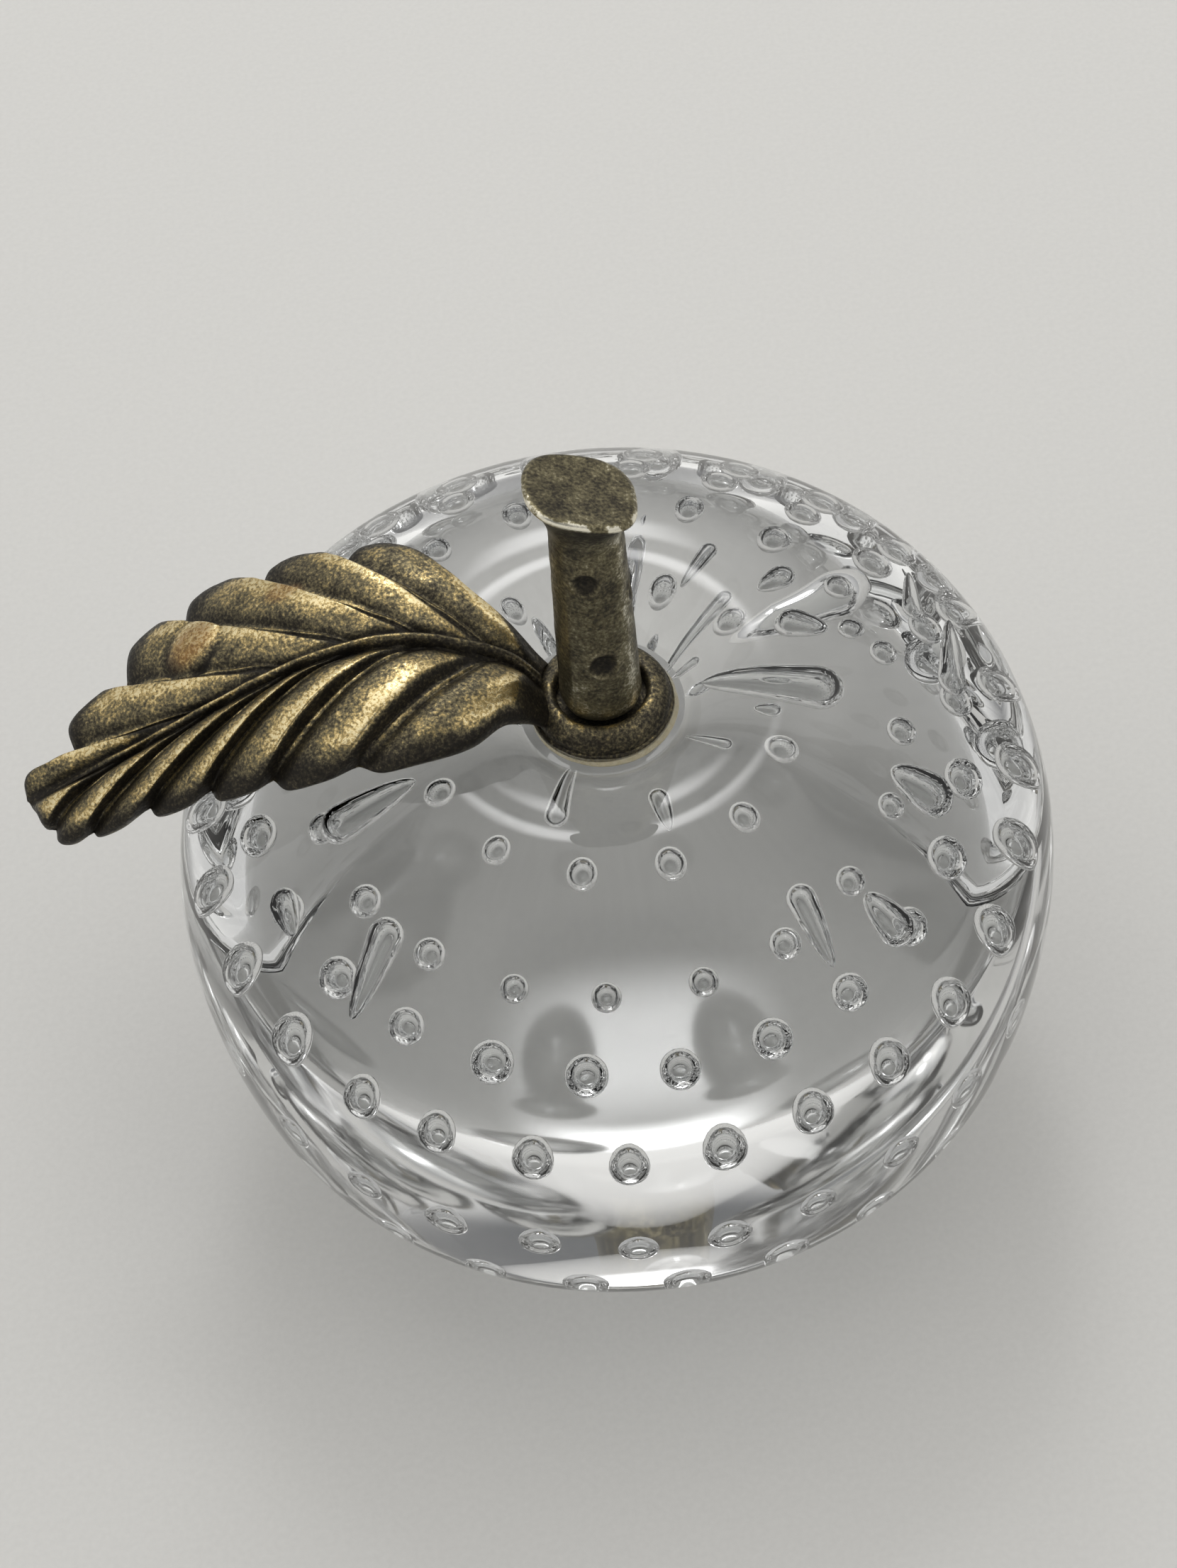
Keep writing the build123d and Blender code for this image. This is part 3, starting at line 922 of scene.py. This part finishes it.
stemLook = {
    "spigotRadius": 1.47 * mm,
    "footRadius": 3.62 * mm,
    "footRise": 1.9 * mm,
    "toeShare": 0.42,
    "neckRadius": 3.14 * mm,
    "headHeight": 23.35 * mm,
    "headRise": 5.5 * mm,
    "headRadius": 4.72 * mm,
    "headSquareness": 0.04,
    "headWobble": 0.008,
    "headTilt": 21.5,
    "headTurn": 26,
    "headShift": (-0.2 * mm, -0.7 * mm),
    # Flare: radius growth and height, as shares from the neck to the underside of the lip
    "flareShares": ((0, 0), (0.09, 0.3), (0.33, 0.62), (0.68, 0.88), (0.93, 1)),
    "flareSteps": 24,
    # Lip of the head: its height, its profile as inset from the rim and height above the
    # flare, and how far it stays below the top
    "lip": 0.8 * mm,
    "lipProfile": ((0, 0.22 * mm), (0, 0.42 * mm), (0.12 * mm, 0.62 * mm), (0.4 * mm, 0.8 * mm)),
    "lipMargin": 0.12 * mm,
    "dish": 0.22 * mm,
    # Four hammered flats on the shank: the plain radius lies at this level between a flat
    # at 1 and an edge at 1.41. One edge is rubbed pale.
    "facetTurn": -86,
    "facetDepth": 0.1,
    "facetLevel": 1.16,
    "rubTurn": -38,
    "rubWidth": 13,
    # Casting skin: lumps, how far it is sunk to keep them in, and the size of its tints
    "lumps": ((0.05 * mm, 2.6 * mm), (0.03 * mm, 0.8 * mm)),
    "sink": 0.04 * mm,
    "tintSize": 3.5 * mm,
    # A pale band above the foot and painted shade under the lip, each with its spread, then the
    # depths between which the lip turns bright, worn and with a painted highlight in front, and the size of
    # its bright patches
    "ankleBand": (2.4 * mm, 1.6 * mm),
    "shadeBand": (2.2 * mm, 1.3 * mm),
    "lipBand": (1.2 * mm, 0.6 * mm),
    "lipPatch": 1.3 * mm,
    # Knots: share of the shank's height, turn about it, radius, depth
    "knots": (
        (0.38, -83, 1.15 * mm, 0.5 * mm),
        (0.84, -99, 1.05 * mm, 0.5 * mm),
        (0.66, -5, 1.1 * mm, 0.4 * mm),
        (0.55, 110, 1.2 * mm, 0.4 * mm),
    ),
    "knotRim": 0.1 * mm,
    "ringGap": 0.22 * mm,
    "turnSteps": 144,
    "finish": {
        "speck": 0.3 * mm,
        "speckRoughness": 0.6,
        "speckWeight": 1.6,
        "blotch": 1.6 * mm,
        "blotchDetail": 3,
        "blotchWeight": 1.0,
        "wearAndLightRange": (1.1, 2.4),
        "colours": (
            (0.0, "#1F1C17"),
            (0.3, "#3D382D"),
            (0.55, "#69624C"),
            (0.75, "#8F876B"),
            (1.0, "#F3EDDA"),
        ),
        "roughness": (0.6, 0.3),
        "metallic": (0.6, 1.0),
        "bumpStrength": 0.5,
        "bumpHeight": 0.05 * mm,
    },
}


def divide(outline, gap):
    # The same outline with its long straight stretches cut into short ones
    points = [outline[0]]
    for p, q in zip(outline, outline[1:]):
        count = max(1, math.ceil((q - p).length / gap))
        points += [p.lerp(q, i / count) for i in range(1, count + 1)]
    return points


def stemOutline(floorTop, headBase):
    look = stemLook
    toe = Vector((look["footRadius"] * look["toeShare"], floorTop))
    ankle = Vector((look["footRadius"], floorTop + look["footRise"]))
    foot, heading = tangentArc(toe, ankle, Vector((1, 0.05)).normalized(), 10)
    neck = look["neckRadius"]
    growth = look["headRadius"] - neck
    lipBase = headBase + look["headRise"] - look["lip"] - look["lipMargin"]
    tall = lipBase - headBase
    flare = [Vector((neck + growth * r, headBase + tall * z)) for r, z in look["flareShares"]]
    steps = look["flareSteps"]
    curved = [curveThrough(flare, (len(flare) - 1) * i / steps) for i in range(steps + 1)]
    rim = look["headRadius"]
    lip = [Vector((rim - inset, lipBase + high)) for inset, high in look["lipProfile"]]
    # The top is slightly dished
    lip.append(Vector((rim - 1.2 * mm, lipBase + look["lip"] - 0.05 * mm)))
    lip.append(Vector((0, lipBase + look["lip"] - look["dish"])))
    spigot = look["spigotRadius"]
    start = [Vector((0, eyeBottom)), Vector((spigot, eyeBottom)), Vector((spigot, floorTop)), toe]
    return divide(start + foot + curved + lip, look["ringGap"])


def buildStem():
    look = stemLook
    floorTop = eyeBottom + leafLook["eyeFloor"]
    headBase = floorTop + look["headHeight"]
    headTop = headBase + look["headRise"]
    stem = spinOutline("stemPeg", stemOutline(floorTop, headBase), look["turnSteps"])
    tilt = math.tan(math.radians(look["headTilt"]))
    turn = math.radians(look["headTurn"])
    shiftX, shiftY = look["headShift"]
    ankle, ankleSpread = look["ankleBand"]
    lipLow, lipHigh = look["lipBand"]
    shade, shadeSpread = look["shadeBand"]
    wearAndPaintedLightLayer = stem.data.attributes.new("wearAndPaintedLight", "FLOAT", "POINT")
    for vertex in stem.data.vertices:
        spot = vertex.co
        reach = math.hypot(spot.x, spot.y)
        angle = math.atan2(spot.y, spot.x)
        height = spot.z
        if reach < 1e-6 or height < floorTop + 0.3 * mm and reach < look["footRadius"] * 0.45:
            # Plain on the axis, on the spigot and under the foot
            grow, wearAndPaintedLight = 0, 0.3
        else:
            onShank = smoothStep(floorTop, floorTop + look["footRise"], height)
            onShank *= 1 - smoothStep(headBase, headTop, height)
            corner = (math.degrees(angle) - look["facetTurn"] + 45) % 90 - 45
            facet = look["facetDepth"] * (1 / math.cos(math.radians(corner)) - look["facetLevel"]) * onShank
            grow = reach * facet + lumpiness(spot, look["lumps"]) - look["sink"]
            wearAndPaintedLight = 0.45 + 2.0 * facet + noise.noise(spot / look["tintSize"]) * 0.22
            wearAndPaintedLight += 0.3 * onShank * bell(math.degrees(angle) - look["rubTurn"], look["rubWidth"])
            wearAndPaintedLight += 0.25 * bell(height - floorTop - ankle, ankleSpread)
            for share, knotTurn, radius, depth in look["knots"]:
                level = floorTop + (headBase - floorTop) * share
                across = (angle - math.radians(knotTurn) + math.pi) % (2 * math.pi) - math.pi
                away = math.hypot(across * reach, (height - level) * 0.85) / radius
                if away < 2:
                    rim = bell(away - 1.2, 0.22)
                    grow += look["knotRim"] * rim - depth * (1 - smoothStep(0.5, 1.1, away))
                    wearAndPaintedLight += 0.1 * rim - 0.65 * (1 - smoothStep(0.6, 1.2, away))
        # The lip of the head: worn bright in patches with a painted highlight on its front, and painted
        # shade under its edge
        lipShare = smoothStep(headTop - lipLow, headTop - lipHigh, height)
        lipShare *= smoothStep(0.9, 0.98, reach / look["headRadius"])
        front = smoothStep(-0.1, 0.75, -math.sin(angle))
        broken = smoothStep(-0.35, 0.15, noise.noise(spot / look["lipPatch"]))
        wearAndPaintedLight += lipShare * (0.1 + 0.95 * front * broken)
        underLip = bell(height - headTop + shade, shadeSpread) * (1 - lipShare)
        wearAndPaintedLight -= 0.4 * underLip if reach > 2 * mm else 0
        wearAndPaintedLightLayer.data[vertex.index].value = min(1.3, max(0, wearAndPaintedLight))
        scale = 1 + grow / reach if reach > 1e-6 else 1
        headShare = smoothStep(headBase, headTop - 0.5 * mm, height)
        squared = look["headSquareness"] * math.cos(4 * angle - math.pi)
        uneven = look["headWobble"] * (math.cos(3 * angle + 2.2) - 1)
        wobble = 1 + headShare * (squared + uneven)
        x, y = spot.x * scale * wobble, spot.y * scale * wobble
        drop = (x * math.cos(turn) + y * math.sin(turn)) * tilt * headShare
        vertex.co = (x + shiftX * headShare, y + shiftY * headShare, height - drop)
    finishPiece(stem, tarnishedBrass(), "root", "aged_bronze", "stem")


def tarnishedBrass():
    # The same cast brass left to tarnish: olive brown, darker in the knots, worn pale on the lip of
    # the head with a painted highlight on its front, and painted shade under the lip
    return patinatedBrass("tarnished cast brass", stemLook["finish"])


buildStem()


# Cement: clear adhesive gone amber with age, squeezed out in an uneven bead

cementLook = {
    "bedSink": 0.04 * mm,
    "beadWidth": 0.4 * mm,
    "beadHeight": 0.36 * mm,
    "tuck": 0.15 * mm,
    "turnSteps": 144,
    "bell": 0.35 * mm,
    "colours": ((0.3, "#D8C9A0"), (0.7, "#F1EAD2")),
}


def buildCement():
    look = cementLook
    bottom = cementLow.z - look["bedSink"]
    outer = Vector((eyeRadius + look["beadWidth"], bottom))
    top = Vector((eyeRadius - look["tuck"], eyeBottom + look["beadHeight"]))
    bead, heading = tangentArc(outer, top, Vector((-0.35, 1)).normalized(), 10)
    inside = Vector((top.x, eyeBottom - 0.02 * mm))
    outline = [Vector((0, bottom)), outer, *bead, inside, Vector((0, inside.y))]
    made = spinOutline("cementBead", outline, look["turnSteps"])
    for vertex in made.data.vertices:
        spot = vertex.co
        reach = math.hypot(spot.x, spot.y)
        if reach > eyeRadius:
            # Squeezed out most at the front right, where it shows
            flat = Vector((spot.x, spot.y, 0)) / reach
            spread = 0.45 + 0.4 * flat.x - 0.2 * flat.y + 0.25 * noise.noise(flat * 4)
            wide = eyeRadius + (reach - eyeRadius) * min(1, max(0.05, spread))
            vertex.co = Vector((flat.x * wide, flat.y * wide, spot.z))
    finishPiece(made, amberCement(), "root", "amber_cement", "cement")


def amberCement():
    # Epoxy adhesive, squeezed out and yellowed: glossy, half clear, with tiny air bells
    material, tree, shader = newMaterial("aged epoxy cement")
    place = addNode(tree, "TexCoord").outputs["Object"]
    cloud = addNode(tree, "TexNoise", {"Vector": place, "Scale": 1 / cementLook["bell"], "Detail": 2})
    colour = addNode(tree, "ValToRGB", {"Fac": cloud.outputs["Fac"]}, ramp=cementLook["colours"])
    bump = addNode(tree, "Bump", {"Height": cloud.outputs["Fac"], "Strength": 0.3, "Distance": 0.04 * mm})
    tree.links.new(colour.outputs["Color"], shader.inputs["Base Color"])
    tree.links.new(bump.outputs["Normal"], shader.inputs["Normal"])
    shader.inputs["Roughness"].default_value = 0.22
    shader.inputs["IOR"].default_value = 1.55
    shader.inputs["Transmission Weight"].default_value = 0.75
    return material


buildCement()
